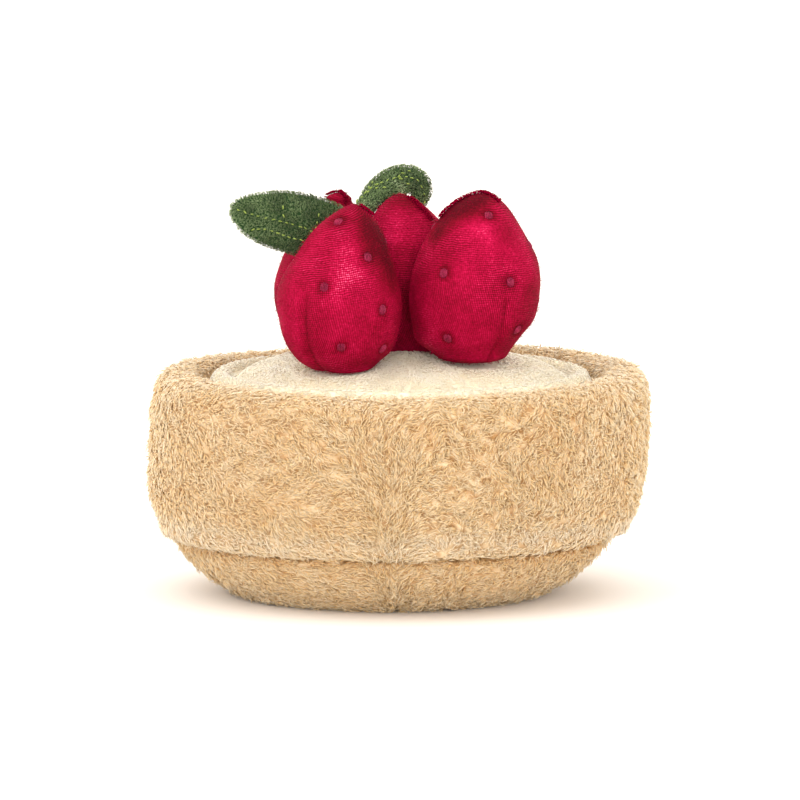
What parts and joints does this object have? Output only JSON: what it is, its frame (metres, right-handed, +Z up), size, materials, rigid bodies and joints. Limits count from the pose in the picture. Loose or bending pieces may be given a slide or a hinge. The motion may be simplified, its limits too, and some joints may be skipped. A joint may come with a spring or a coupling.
{
  "type": "plush strawberry tart",
  "caption": "Round stuffed tart: a shaggy plush crust round a soft cream top that carries plump velour strawberries and stuffed felt leaves.",
  "frame": {"origin": "middle of the underside, below the middle of the crust band", "axes": "+Z up, -Y towards the back seam of the crust band"},
  "size_m": [0.2, 0.1991, 0.1671],
  "materials": {
    "crust_plush": "long curly biscuit-coloured pile",
    "cream_plush": "short brushed cream-coloured pile",
    "berry_velour": "crimson knitted velour with plum satin-stitched seeds",
    "leaf_plush": "dark green brushed fabric with light green stitched veins"
  },
  "bodies": {
    "root": {"crust_band": "crust_plush", "crust_base": "crust_plush", "cream_filling": "cream_plush", "berry_front_left": "berry_velour", "berry_front_right": "berry_velour", "berry_middle": "berry_velour", "berry_rear_left": "berry_velour", "leaf_left": "leaf_plush", "leaf_curled": "leaf_plush"}
  },
  "joints": []
}
